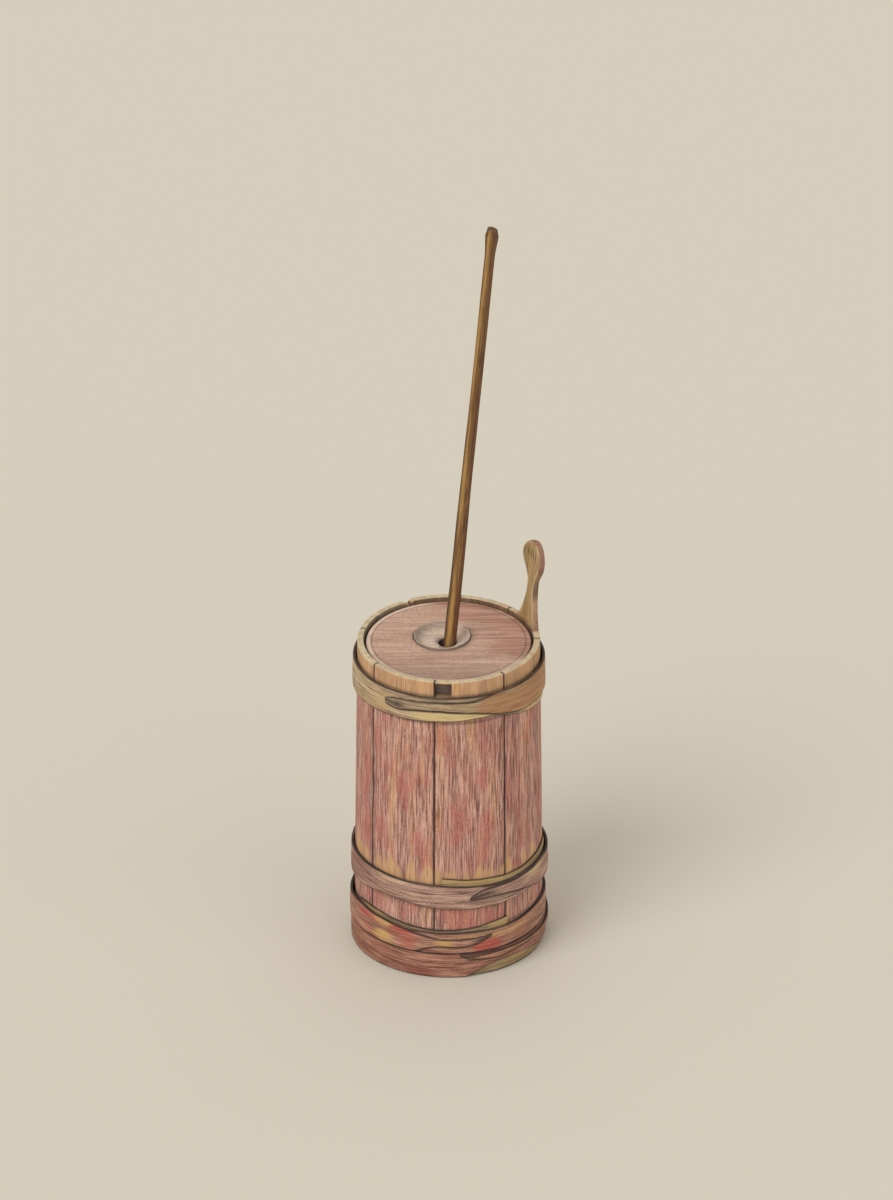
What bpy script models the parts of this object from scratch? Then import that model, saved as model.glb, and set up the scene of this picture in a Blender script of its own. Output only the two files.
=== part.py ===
"""Staved dash churn: a wooden barrel bound with split-wood hoops, its lid, splash cup and dasher.

Metres, +Z up. The origin is on the floor under the barrel's centre. The churn faces -Y, and an angle
round it is measured from -Y towards +X.
"""

import math

import bmesh
import bpy
from mathutils import Matrix, Vector

# Barrel
BARREL_HEIGHT = 0.430
RIM_RADIUS = 0.1168
BASE_RADIUS = 0.1210
SPLAY_POWER = 1.4
WALL = 0.0143
SEAMS = (-54.5, -9.0, 37.0, 90.0, 136.0, 172.0, 207.0, 256.0)
HANDLE_STAVE = 3
FIT = 0.0003
HOOP_FIT = 0.0005
SEGMENT = 6.0
EDGE = 0.0012
LEVELS = (0.075, 0.145, 0.215, 0.285, 0.355)

# Seat for the lid, cut round the inside of the rim
LEDGE_HEIGHT = 0.4055
LEDGE_RADIUS = 0.1083
LEDGE_SLOPE = 0.0004

# Groove that holds the bottom, and the chamfer under it
CROZE_HEIGHT = 0.0250
CROZE_WIDTH = 0.0052
CROZE_DEPTH = 0.0045
CHIME_HEIGHT = 0.0120
CHIME_DEPTH = 0.0040

# Mortise in the edge of the front stave, just under the rim
MORTISE_WIDTH = 0.0230
MORTISE_LOW = 0.4093
MORTISE_HIGH = 0.4275

# Handle that carries on up from one stave and leans away from the lid
HANDLE_ANGLE = 113.0
HANDLE_THICKNESS = 0.0085
HANDLE_BASE = 0.0280
HANDLE_NECK = 0.0106
HANDLE_KNOB = 0.0270
HANDLE_LEAN = 0.0900
FLARE_POWER = 2.2
NECK_RISE = 0.0560
KNOB_RISE = 0.0900
HANDLE_RISE = 0.1125
ROOT_RISES = (-0.0060, 0.0, 0.0070, 0.0150, 0.0270, 0.0410)
SWELL_RISES = (0.0640, 0.0720, 0.0810)
KNOB_TIP = 0.0100
KNOB_TURNS = range(15, 91, 15)

# Steps round each turned piece
LID_STEPS = 72
BOARD_STEPS = 60
CUP_STEPS = 40
HOLE_STEPS = 24
ROD_STEPS = 20
DOWEL_SIDES = 16

# Hoops: name, lower edge, upper edge, angle of the tongue's tip, lap, way the tongue points
HOOPS = (
    ("top_hoop", 0.3700, 0.4085, -41.0, 70.0, -1),
    ("middle_hoop", 0.1010, 0.1345, 13.0, 60.0, -1),
    ("lower_hoop", 0.0390, 0.0673, 26.0, 50.0, 1),
    ("bottom_hoop", 0.0010, 0.0385, 6.0, 65.0, -1),
)
HOOP_THICKNESS = 0.0036
TAIL_THICKNESS = 0.0012
TIP_THICKNESS = 0.0014
TIP_WIDTH = 0.35
LAP_RAMP = 18.0
HOOP_SEGMENT = 5.0

# Bottom: three boards and the dowels between them
BOTTOM_THICKNESS = 0.0140
BOARD_EDGES = (-0.1200, -0.0330, 0.0330, 0.1200)
BOARD_NAMES = ("bottom_board_left", "bottom_board_middle", "bottom_board_right")
BOARD_BEVEL = 0.0060
DOWEL_RADIUS = 0.0040
DOWEL_LENGTH = 0.0380
DOWEL_SPREAD = 0.0520

# Lid
LID_RADIUS = 0.1063
LID_TOP = 0.4255
LID_BOTTOM = LEDGE_HEIGHT + LEDGE_SLOPE + FIT
LID_BEVEL = 0.0020

# Splash cup, let into the lid
CUP_X = -0.0085
CUP_Y = 0.0120
CUP_RADIUS = 0.0365
CUP_RISE = 0.0025
CUP_DISH = 0.0090
CUP_DISH_RADIUS = 0.0335
CUP_FLOOR_RADIUS = 0.0235
CUP_COVE_RUN = 0.0060
CUP_COVE_RISE = 0.0022
CUP_LIP = 0.0010
CUP_EASE = 0.0008
CUP_SEAT = 0.0112
CUP_SPIGOT = 0.0245
CUP_SHAKE = 0.0011
HOLE_X = -0.0017
HOLE_Y = 0.0073
HOLE_RADIUS = 0.0117

# Dasher: its own frame stands on the rod's axis, where the rod leaves the cup
LEAN = 5.17
DASHER_X = 0.0013
DASHER_Y = HOLE_Y
DASHER_Z = LID_TOP + CUP_RISE - CUP_DISH
ROD_ABOVE = 0.6005
FOOT_DROP = 0.3812
ROD_RADIUS = 0.0080
ROD_WAIST = 0.0066
ROD_BUTT = 0.0087
BUTT_LENGTH = 0.0400
BUTT_STEPS = ((0.0030, 0.0), (0.0008, 0.0015), (0.0, 0.0050), (0.0006, 0.0180))
WAIST_HEIGHT = 0.3720
SHOULDER_HEIGHT = 0.0300
FOOT_SPAN = 0.1280
FOOT_WIDTH = 0.0300
FOOT_THICKNESS = 0.0180
WEDGE_LENGTH = 0.0170
WEDGE_THICK = 0.0026
WEDGE_THIN = 0.0012

# Colours: linear RGB
RED_PAINT = (0.36, 0.15, 0.11, 1.0)
OCHRE_WOOD = (0.48, 0.30, 0.13, 1.0)
BROWN_WOOD = (0.30, 0.14, 0.06, 1.0)
PALE_WOOD = (0.55, 0.40, 0.24, 1.0)
LID_WOOD = (0.42, 0.25, 0.17, 1.0)
BRICK_WOOD = (0.27, 0.09, 0.06, 1.0)
WOOD_ROUGHNESS = 0.7

CLEAR = 0.0100
ON_ITS_SIDE = Matrix.Rotation(math.radians(90.0), 3, "Y")


def clear_scene():
    """Empty the scene."""
    for item in list(bpy.data.objects):
        bpy.data.objects.remove(item)


def collection(name):
    """A new collection in the scene."""
    made = bpy.data.collections.new(name)
    bpy.context.scene.collection.children.link(made)
    return made


def polar(radius, angle, height):
    """The point at a radius, an angle in degrees from -Y towards +X, and a height."""
    turn = math.radians(angle)
    return Vector((radius * math.sin(turn), -radius * math.cos(turn), height))


def stave_radius(height):
    """Outer radius of the staves, which splay towards the floor."""
    return BASE_RADIUS + (RIM_RADIUS - BASE_RADIUS) * (height / BARREL_HEIGHT) ** SPLAY_POWER


def inner_radius(height):
    """Inner radius of the staves below the ledge."""
    return stave_radius(height) - WALL


def smooth(share):
    """An ease from 0 to 1, level at both ends."""
    share = min(max(share, 0.0), 1.0)
    return share * share * (3.0 - 2.0 * share)


def wood(name, colour):
    """A plain wood or paint material."""
    made = bpy.data.materials.new(name)
    made.use_nodes = True
    shader = made.node_tree.nodes["Principled BSDF"]
    shader.inputs["Base Color"].default_value = colour
    shader.inputs["Roughness"].default_value = WOOD_ROUGHNESS
    shader.inputs["Metallic"].default_value = 0.0
    return made


def add_object(name, data, colour, group):
    """An object with its own material, linked to a collection."""
    made = bpy.data.objects.new(name, data)
    data.materials.append(wood(name + "_finish", colour))
    group.objects.link(made)
    return made


def mesh_from(name, work, smooth_angle=30.0):
    """Turn a finished bmesh into mesh data, with its faces pointing out."""
    bmesh.ops.recalc_face_normals(work, faces=work.faces)
    data = bpy.data.meshes.new(name)
    work.to_mesh(data)
    work.free()
    data.shade_smooth()
    data.set_sharp_from_angle(angle=math.radians(smooth_angle))
    return data


def loft(name, rings):
    """A closed solid skinned over rings that have the same number of points."""
    work = bmesh.new()
    loops = [[work.verts.new(point) for point in ring] for ring in rings]
    for lower, upper in zip(loops, loops[1:]):
        for i, corner in enumerate(lower):
            j = (i + 1) % len(lower)
            work.faces.new((corner, lower[j], upper[j], upper[i]))
    work.faces.new(loops[0])
    work.faces.new(loops[-1])
    return mesh_from(name, work)


def turned(name, outline, steps, colour, group):
    """A turned solid: its (radius, height) outline runs down the outer side, axis to axis."""
    data = bpy.data.meshes.new(name)
    points = [(radius, 0.0, height) for radius, height in outline]
    data.from_pydata(points, [(i, i + 1) for i in range(len(points) - 1)], [])
    made = add_object(name, data, colour, group)
    screw = made.modifiers.new("Turn", "SCREW")
    screw.steps = steps
    screw.render_steps = steps
    screw.use_merge_vertices = True
    screw.merge_threshold = 0.00001
    screw.use_smooth_shade = True
    return made


def box(name, low, high, colour, group):
    """A rectangular block between two corners."""
    work = bmesh.new()
    bmesh.ops.create_cube(work, size=1.0)
    low, high = Vector(low), Vector(high)
    bmesh.ops.scale(work, vec=high - low, verts=work.verts)
    bmesh.ops.translate(work, vec=(high + low) / 2.0, verts=work.verts)
    return add_object(name, mesh_from(name, work), colour, group)


def cross_rods(name, places, radius, length, group):
    """One mesh of round rods that lie along X, one at each place."""
    work = bmesh.new()
    for place in places:
        made = bmesh.ops.create_cone(
            work, cap_ends=True, segments=DOWEL_SIDES, radius1=radius, radius2=radius, depth=length
        )
        bmesh.ops.rotate(work, verts=made["verts"], cent=(0, 0, 0), matrix=ON_ITS_SIDE)
        bmesh.ops.translate(work, verts=made["verts"], vec=place)
    return add_object(name, mesh_from(name, work), PALE_WOOD, group)


def as_cutter(item):
    """Show an object as a wire that only cuts."""
    item.hide_render = True
    item.display_type = "WIRE"
    return item


def cut(item, cutter, operation="DIFFERENCE"):
    """Cut an object with another, or join them, or keep what they share."""
    change = item.modifiers.new(operation.title(), "BOOLEAN")
    change.operation = operation
    change.object = cutter
    change.solver = "EXACT"


def stave_outline():
    """A stave's outline in the plane of its radius, as (radius, height) points."""
    outer = [(stave_radius(height), height) for height in (EDGE, *LEVELS)]
    outer.append((RIM_RADIUS, BARREL_HEIGHT - EDGE))
    rim = [(RIM_RADIUS - EDGE, BARREL_HEIGHT), (LEDGE_RADIUS, BARREL_HEIGHT)]
    ledge = [
        (LEDGE_RADIUS, LEDGE_HEIGHT + LEDGE_SLOPE),
        (inner_radius(LEDGE_HEIGHT), LEDGE_HEIGHT),
    ]
    inner = [(inner_radius(height), height) for height in reversed(LEVELS)]
    high = CROZE_HEIGHT + CROZE_WIDTH / 2.0
    low = CROZE_HEIGHT - CROZE_WIDTH / 2.0
    groove = [
        (inner_radius(high), high),
        (inner_radius(high) + CROZE_DEPTH, high),
        (inner_radius(low) + CROZE_DEPTH, low),
        (inner_radius(low), low),
    ]
    foot = [
        (inner_radius(CHIME_HEIGHT), CHIME_HEIGHT),
        (inner_radius(0.0) + CHIME_DEPTH, 0.0),
        (BASE_RADIUS - EDGE, 0.0),
    ]
    return outer + rim + ledge + inner + groove + foot


def stave(name, start, end, group):
    """One stave between two seams: its outline swept round the barrel's axis."""
    play = math.degrees(FIT / 2.0 / inner_radius(LEDGE_HEIGHT))
    width = end - start - 2.0 * play
    work = bmesh.new()
    face = work.faces.new([work.verts.new(polar(r, 0.0, z)) for r, z in stave_outline()])
    bmesh.ops.spin(
        work,
        geom=[face, *face.edges, *face.verts],
        axis=(0, 0, 1),
        angle=math.radians(width),
        steps=max(2, round(width / SEGMENT)),
    )
    made = add_object(name, mesh_from(name, work), RED_PAINT, group)
    made.rotation_euler.z = math.radians(start + play)
    return made


def handle_half_width(rise):
    """Half the handle's width at a height above the rim: a flared root, a neck and a knob."""
    if rise < NECK_RISE:
        flare = (1.0 - max(rise, 0.0) / NECK_RISE) ** FLARE_POWER
        return HANDLE_NECK + (HANDLE_BASE - HANDLE_NECK) * flare
    if rise < KNOB_RISE:
        swell = smooth((rise - NECK_RISE) / (KNOB_RISE - NECK_RISE))
        return HANDLE_NECK + (HANDLE_KNOB - HANDLE_NECK) * swell
    share = (rise - KNOB_RISE) / (HANDLE_RISE - KNOB_RISE)
    return HANDLE_KNOB * math.sqrt(max(1.0 - share * share, KNOB_TIP))


def handle_root(group):
    """The handle, bent to the barrel's curve, with its root inside the stave."""
    outer = RIM_RADIUS - FIT
    inner = outer - HANDLE_THICKNESS + 2.0 * FIT
    crown = HANDLE_RISE - KNOB_RISE
    knob = [KNOB_RISE + crown * math.sin(math.radians(turn)) for turn in KNOB_TURNS]
    rises = [*ROOT_RISES, NECK_RISE, *SWELL_RISES, KNOB_RISE, *knob]
    rings = []
    for rise in rises:
        half = math.degrees(handle_half_width(rise) / outer)
        turns = [half * share for share in (-1.0, -0.5, 0.0, 0.5, 1.0)]
        height = BARREL_HEIGHT + rise
        lean = HANDLE_LEAN * max(rise, 0.0)
        ring = [polar(outer + lean, HANDLE_ANGLE + turn, height) for turn in turns]
        ring += [polar(inner + lean, HANDLE_ANGLE + turn, height) for turn in reversed(turns)]
        rings.append(ring)
    return as_cutter(add_object("handle_root", loft("handle_root", rings), OCHRE_WOOD, group))


def mortise_block(group):
    """The block that the mortise takes out of the front stave's left edge."""
    half = MORTISE_WIDTH / 2.0
    block = box(
        "mortise_block",
        (-half, -RIM_RADIUS - CLEAR, MORTISE_LOW),
        (half, -LEDGE_RADIUS + CLEAR, MORTISE_HIGH),
        BROWN_WOOD,
        group,
    )
    block.rotation_euler.z = math.radians(SEAMS[1]) + (half - CLEAR / 10.0) / RIM_RADIUS
    return as_cutter(block)


def make_staves(group, cutters):
    """The eight staves: one carries the handle, and one has the mortise in its edge."""
    handle = handle_root(cutters)
    mortise = mortise_block(cutters)
    count = 0
    for i, start in enumerate(SEAMS):
        end = SEAMS[(i + 1) % len(SEAMS)]
        end += 360.0 if end < start else 0.0
        if i == HANDLE_STAVE:
            cut(stave("handle_stave", start, end, group), handle, "UNION")
            continue
        count += 1
        made = stave(f"stave_{count}", start, end, group)
        if start == SEAMS[1]:
            cut(made, mortise)


def hoop(name, low, high, tip, lap, way, group):
    """A split-wood hoop: one strip whose thinned tail lies under its own tongue."""
    root = tip - way * lap
    turns = round((360.0 + lap) / HOOP_SEGMENT)
    middle = (low + high) / 2.0
    grown = HOOP_THICKNESS - TAIL_THICKNESS
    rings = []
    for i in range(turns + 1):
        along = (360.0 + lap) * i / turns
        past = along - 360.0
        ending = smooth(past / lap)
        lift = smooth((past + LAP_RAMP) / (LAP_RAMP - HOOP_SEGMENT))
        inner = lift * (TAIL_THICKNESS + grown * ending + HOOP_FIT)
        thick = TAIL_THICKNESS + grown * smooth(along / lap)
        thick += (TIP_THICKNESS - HOOP_THICKNESS) * ending
        share = 1.0 + (TIP_WIDTH - 1.0) * ending
        foot, head = [middle + (edge - middle) * share for edge in (low, high)]
        angle = root + way * along
        foot_radius = stave_radius(foot) + HOOP_FIT + inner
        head_radius = stave_radius(head) + HOOP_FIT + inner
        rings.append(
            [
                polar(foot_radius, angle, foot),
                polar(foot_radius + thick, angle, foot),
                polar(head_radius + thick, angle, head),
                polar(head_radius, angle, head),
            ]
        )
    colour = BRICK_WOOD if name == "bottom_hoop" else OCHRE_WOOD
    return add_object(name, loft(name, rings), colour, group)


def make_bottom(group, cutters):
    """Three bottom boards with a bevelled rim in the groove, and the dowels that join them."""
    low = CROZE_HEIGHT - BOTTOM_THICKNESS / 2.0
    high = CROZE_HEIGHT + BOTTOM_THICKNESS / 2.0
    body = inner_radius(high) - 2.0 * FIT
    rim = body + CROZE_DEPTH - FIT
    lip = CROZE_WIDTH / 2.0 - FIT
    outline = [
        (0.0, high),
        (body - BOARD_BEVEL, high),
        (body, CROZE_HEIGHT + lip),
        (rim, CROZE_HEIGHT + lip),
        (rim, CROZE_HEIGHT - lip),
        (body, CROZE_HEIGHT - lip),
        (body - BOARD_BEVEL, low),
        (0.0, low),
    ]
    spots = [
        (edge, spread, CROZE_HEIGHT)
        for edge in BOARD_EDGES[1:3]
        for spread in (-DOWEL_SPREAD, DOWEL_SPREAD)
    ]
    bore_length = DOWEL_LENGTH + 2.0 * FIT
    bores = as_cutter(cross_rods("dowel_bores", spots, DOWEL_RADIUS + FIT, bore_length, cutters))
    for name, left, right in zip(BOARD_NAMES, BOARD_EDGES, BOARD_EDGES[1:]):
        board = turned(name, outline, BOARD_STEPS, PALE_WOOD, group)
        slab = as_cutter(
            box(
                name + "_slab",
                (left + FIT / 2.0, -BASE_RADIUS, 0.0),
                (right - FIT / 2.0, BASE_RADIUS, 2.0 * CROZE_HEIGHT),
                PALE_WOOD,
                cutters,
            )
        )
        cut(board, slab, "INTERSECT")
        cut(board, bores)
    for number, spot in enumerate(spots, 1):
        cross_rods(f"bottom_dowel_{number}", [spot], DOWEL_RADIUS, DOWEL_LENGTH, group)


def make_lid(group, cutters):
    """The lid, a disc with a stepped seat bored for the splash cup."""
    outline = [
        (0.0, LID_TOP),
        (LID_RADIUS - LID_BEVEL, LID_TOP),
        (LID_RADIUS, LID_TOP - LID_BEVEL),
        (LID_RADIUS, LID_BOTTOM + LID_BEVEL),
        (LID_RADIUS - LID_BEVEL, LID_BOTTOM),
        (0.0, LID_BOTTOM),
    ]
    lid = turned("lid", outline, LID_STEPS, LID_WOOD, group)
    floor = LID_TOP - CUP_SEAT - FIT
    bore = [
        (0.0, LID_TOP + CLEAR),
        (CUP_RADIUS + CUP_SHAKE, LID_TOP + CLEAR),
        (CUP_RADIUS + CUP_SHAKE, floor),
        (CUP_SPIGOT + CUP_SHAKE, floor),
        (CUP_SPIGOT + CUP_SHAKE, LID_BOTTOM - CLEAR),
        (0.0, LID_BOTTOM - CLEAR),
    ]
    seat = as_cutter(turned("cup_seat", bore, CUP_STEPS, LID_WOOD, cutters))
    seat.location = (CUP_X, CUP_Y, 0.0)
    cut(lid, seat)


def make_cup(group, cutters):
    """The splash cup: a dished, flanged turning with the rod's hole off its centre."""
    lip = LID_TOP + CUP_RISE
    floor = lip - CUP_DISH
    seat = LID_TOP - CUP_SEAT
    outline = [
        (0.0, floor),
        (CUP_FLOOR_RADIUS, floor),
        (CUP_FLOOR_RADIUS + CUP_COVE_RUN, floor + CUP_COVE_RISE),
        (CUP_DISH_RADIUS, lip - CUP_EASE),
        (CUP_DISH_RADIUS + CUP_LIP, lip),
        (CUP_RADIUS - CUP_LIP, lip),
        (CUP_RADIUS, lip - CUP_LIP),
        (CUP_RADIUS - CUP_EASE / 2.0, seat),
        (CUP_SPIGOT, seat),
        (CUP_SPIGOT, LID_BOTTOM + FIT),
        (0.0, LID_BOTTOM + FIT),
    ]
    cup = turned("splash_cup", outline, CUP_STEPS, LID_WOOD, group)
    cup.location = (CUP_X, CUP_Y, 0.0)
    hole = [
        (0.0, lip),
        (HOLE_RADIUS, lip),
        (HOLE_RADIUS, LID_BOTTOM - CLEAR),
        (0.0, LID_BOTTOM - CLEAR),
    ]
    bore = as_cutter(turned("rod_hole", hole, HOLE_STEPS, LID_WOOD, cutters))
    bore.location = (HOLE_X, HOLE_Y, 0.0)
    cut(cup, bore)


def rod_outline():
    """The rod's (radius, height) outline: slim in its upper half and flared at its butt."""
    top = ROD_ABOVE
    return [
        (0.0, top),
        *((ROD_BUTT - inset, top - drop) for inset, drop in BUTT_STEPS),
        (ROD_WAIST, top - BUTT_LENGTH),
        (ROD_WAIST, WAIST_HEIGHT),
        (ROD_RADIUS, SHOULDER_HEIGHT),
        (ROD_RADIUS, -FOOT_DROP + EDGE),
        (ROD_RADIUS - EDGE, -FOOT_DROP),
        (0.0, -FOOT_DROP),
    ]


def foot_arm(name, along_x, axis, bore, group, cutters):
    """One arm of the dasher's cross, halved where it meets the other."""
    half, width = FOOT_SPAN / 2.0, FOOT_WIDTH / 2.0
    low, high = -FOOT_DROP, -FOOT_DROP + FOOT_THICKNESS
    middle = (low + high) / 2.0
    if along_x:
        reach, notch = (half, width), (width + FIT, half)
        lap = (low - CLEAR, middle + FIT / 2.0)
    else:
        reach, notch = (width, half), (half, width + FIT)
        lap = (middle - FIT / 2.0, high + CLEAR)
    arm = box(name, (-reach[0], -reach[1], low), (*reach, high), BROWN_WOOD, group)
    cutter = as_cutter(
        box(name + "_notch", (-notch[0], -notch[1], lap[0]), (*notch, lap[1]), BROWN_WOOD, cutters)
    )
    for piece in (arm, cutter):
        piece.parent = axis
    cut(arm, cutter)
    cut(arm, bore)


def taper(name, play, reach):
    """A wedge-shaped block in the rod's lower end, larger all round by some play."""
    rings = []
    for height, thick in (
        (-FOOT_DROP - play, WEDGE_THICK),
        (-FOOT_DROP + WEDGE_LENGTH + play, WEDGE_THIN),
    ):
        across = thick / 2.0 + play
        corners = ((-across, -reach), (across, -reach), (across, reach), (-across, reach))
        rings.append([(x, y, height) for x, y in corners])
    return loft(name, rings)


def make_wedge(axis, group, cutters):
    """The wedge in the rod's lower end, and the slot that it fills."""
    wedge_data = taper("tenon_wedge", 0.0, ROD_RADIUS - EDGE)
    slot_data = taper("wedge_slot", FIT, 2.0 * ROD_RADIUS)
    wedge = add_object("tenon_wedge", wedge_data, PALE_WOOD, group)
    slot = as_cutter(add_object("wedge_slot", slot_data, PALE_WOOD, cutters))
    for piece in (wedge, slot):
        piece.parent = axis
    return slot


def make_dasher(group, cutters):
    """The rod, its halved cross and its wedge, all in the leaning frame of the rod."""
    axis = bpy.data.objects.new("dasher_axis", None)
    axis.location = (DASHER_X, DASHER_Y, DASHER_Z)
    axis.rotation_euler.y = math.radians(LEAN)
    cutters.objects.link(axis)
    rod = turned("dasher_rod", rod_outline(), ROD_STEPS, BROWN_WOOD, group)
    rod.parent = axis
    hole = ROD_RADIUS + FIT
    bore_outline = [
        (0.0, -FOOT_DROP + 2.0 * FOOT_THICKNESS),
        (hole, -FOOT_DROP + 2.0 * FOOT_THICKNESS),
        (hole, -FOOT_DROP - FOOT_THICKNESS),
        (0.0, -FOOT_DROP - FOOT_THICKNESS),
    ]
    bore = as_cutter(turned("foot_bore", bore_outline, ROD_STEPS, BROWN_WOOD, cutters))
    bore.parent = axis
    foot_arm("foot_arm_long", True, axis, bore, group, cutters)
    foot_arm("foot_arm_cross", False, axis, bore, group, cutters)
    cut(rod, make_wedge(axis, group, cutters))


def main():
    """Build the churn."""
    clear_scene()
    churn = collection("dash_churn")
    cutters = collection("cutters")
    make_staves(churn, cutters)
    for row in HOOPS:
        hoop(*row, churn)
    make_bottom(churn, cutters)
    make_lid(churn, cutters)
    make_cup(churn, cutters)
    make_dasher(churn, cutters)


main()
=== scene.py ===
"""The looks of a staved dash churn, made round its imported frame.

Metres, +Z up. The churn faces -Y, and an angle round it is measured from -Y towards +X.
"""

import math

import bmesh
import bpy
from mathutils import Matrix, Vector, noise


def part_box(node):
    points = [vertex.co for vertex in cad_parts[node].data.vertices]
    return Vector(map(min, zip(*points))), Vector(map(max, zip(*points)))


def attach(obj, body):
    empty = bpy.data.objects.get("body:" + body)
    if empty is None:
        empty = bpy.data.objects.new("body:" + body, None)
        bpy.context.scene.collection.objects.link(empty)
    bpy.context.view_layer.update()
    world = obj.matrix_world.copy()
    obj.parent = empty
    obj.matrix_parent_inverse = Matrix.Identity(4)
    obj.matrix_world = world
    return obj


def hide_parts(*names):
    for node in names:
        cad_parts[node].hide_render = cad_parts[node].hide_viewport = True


MM = 0.001

# Barrel, as the frame has it
SEAMS = (-54.5, -9.0, 37.0, 90.0, 136.0, 172.0, 207.0, 256.0)
STAVES = (
    "stave_1", "stave_2", "stave_3", "handle_stave", "stave_4", "stave_5", "stave_6", "stave_7",
)
RIM_RADIUS = 0.1168
BASE_RADIUS = 0.1210
SPLAY_POWER = 1.4
WALL = 0.0143
LEDGE_HEIGHT = 0.4055
LEDGE_RADIUS = 0.1083
# The groove for the bottom: lower edge, upper edge and depth
CROZE = (0.0224, 0.0276, 0.0045)
# The slope inside the staves' feet: height and depth
CHIME = (0.0120, 0.0040)
# Width, lower edge and upper edge
MORTISE = (0.0230, 0.4093, 0.4275)

# How the staves are shaped and worn. The eases are in millimetres from a seam.
RIM_EDGE = 0.0016
OUTER_STEPS = 110
FOOT_GAP = 0.0002
SEAM_GAP = 0.00018
SEAM_EASES = (0.0, 0.25, 0.6, 1.1, 1.8)
SEAM_DEPTH = 0.0010
STAVE_STEP = 1.5
SHAVED_WIDE = 0.00030
SHAVED_FINE = 0.00012
STAVE_DROP = 0.0004
RIM_RIPPLE = 0.0002
LOW_SEAM = SEAMS[7]
# The rim's worn corner: its seam, and the depth and reach in degrees after it and before it
NICK_SEAM = SEAMS[6]
NICK_AFTER = (0.0042, 6.5)
NICK_BEFORE = (0.0028, 2.5)
# Where the staves are unpainted under the rim and rubbed over the middle hoop, how far down the rim is
# pale, at the front and more at the back, and the heights of the hoops' edges, along which the staves
# are painted with shade
BARE_BAND = 0.398
WORN_FOOT = (0.120, 0.137, 0.036)
PALE_RIM = 0.0012
PALE_BACK = 0.00225
HOOP_EDGES = (0.4085, 0.3700, 0.1345, 0.1010, 0.0665)

# Handle
HANDLE_ANGLE = 113.0
HANDLE_THICKNESS = 0.0083
HANDLE_BASE = 0.0280
HANDLE_NECK = 0.0106
HANDLE_KNOB = 0.0270
HANDLE_LEAN = 0.0900
NECK_RISE = 0.0560
KNOB_RISE = 0.0900
HANDLE_RISE = 0.1125
HANDLE_ROOT = 0.0050
HANDLE_EDGE = 0.0026
KNIFE_MARKS = (-0.009, -0.002, 0.005, 0.012)

# Dasher
LEAN = 5.17
DASHER = Vector((0.0013, 0.0073, 0.4190))
ROD_ABOVE = 0.6005
FOOT_DROP = 0.3812
ROD_RADIUS = 0.0080
FOOT_SPAN = 0.1280
FOOT_WIDTH = 0.0300
FOOT_THICKNESS = 0.0180
FOOT_CORNER = 0.0090
FOOT_EDGE = 0.0012
ROD_WAIST = 0.0066
ROD_BUTT = 0.0087
ROD_STEPS = 96
ROD_SIDES = 28
ROD_SLANT = 0.0025
KERF = (0.0028, 0.0173)
BORE_RADIUS = 0.0083
LAP_GAP = 0.00015

# Lid and splash cup. The seat and the socket take the cup's lip and its foot.
CUP = Vector((-0.0085, 0.0120, 0.0))
CUP_HOLE = Vector((-0.0017, 0.0073, 0.0))
HOLE_RADIUS = 0.0117
SEAT_RADIUS = 0.0373
SEAT_DEPTH = 0.0115
SOCKET_RADIUS = 0.0256
LID_EDGE = 0.0025
LID_UNDER = 0.0015
LID_GROOVE = 0.0073
CUP_DISH = 0.0090
CUP_SEAT = 0.0137
CUP_FOOT = 0.0245
CUP_EDGE = 0.0012
OVERCUT = 0.0100

# Hoops. A strip is a list of stations along it, each an angle in degrees and, in millimetres, the
# lower edge, the upper edge, the lift off the staves and the thickness.
TOP_HOOP = (
    (92, 353, 372, 0.4, 1.6),
    (80, 353, 385, 0.4, 2.0),
    (50, 364, 396, 0.4, 2.6),
    (28, 377, 408.5, 0.4, 3.2),
    (0, 375, 408.5, 0.4, 3.4),
    (-45, 371, 408.5, 0.4, 3.6),
    (-90, 367, 409, 1.5, 3.6),
    (-180, 370, 409, 0.4, 3.6),
    (-250, 368, 409, 0.5, 3.6),
    (-268, 367, 409, 2.3, 3.4),
    (-310, 370, 410, 3.3, 3.0),
    (-331, 380, 410, 3.8, 2.8),
    (-338, 384, 406.5, 4.0, 2.6),
    (-346, 387.5, 402.8, 4.0, 2.4),
    (-366, 391.5, 403.3, 4.0, 2.2),
    (-378, 390, 402.4, 4.0, 2.2),
    (-392, 385.5, 400.5, 3.9, 2.1),
    (-399, 387, 397.5, 3.8, 1.8),
    (-401.5, 389.5, 394.5, 3.7, 1.4),
)
MIDDLE_HOOP = (
    (88, 108, 128, 2.1, 1.4),
    (60, 103, 133, 2.1, 2.4),
    (30, 99.5, 130, 2.1, 2.8),
    (2, 101, 134.5, 2.1, 3.0),
    (-9, 101.5, 135, 0.5, 3.3),
    (-26, 106, 135.4, 0.4, 3.5),
    (-45, 107, 137, 0.4, 3.5),
    (-70, 100, 137, 0.8, 3.5),
    (-90, 98, 136, 1.2, 3.5),
    (-180, 101, 134.5, 0.4, 3.5),
    (-250, 101, 134.5, 0.6, 3.5),
    (-275, 99, 134.5, 4.2, 3.2),
    (-297, 101, 133, 4.9, 2.8),
    (-305, 107, 131, 5.0, 2.6),
    (-322, 113.5, 129.5, 5.2, 2.3),
    (-331, 115.3, 128.5, 5.2, 2.1),
    (-338.5, 115.5, 127.4, 5.2, 1.9),
    (-345, 115.3, 121, 5.1, 1.6),
    (-347.5, 115.2, 116.6, 5.0, 1.3),
)
MIDDLE_TAIL = (
    (86, 124, 145, 0.3, 1.4),
    (77, 124, 143.6, 0.3, 1.6),
    (50, 124, 138.5, 0.3, 1.7),
    (37, 124, 138, 0.3, 1.7),
    (27, 126, 140, 0.3, 1.7),
    (13, 128, 141.5, 0.3, 1.7),
    (0, 128, 145, 0.3, 1.7),
    (-4, 128, 145, 0.3, 1.7),
)
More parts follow.
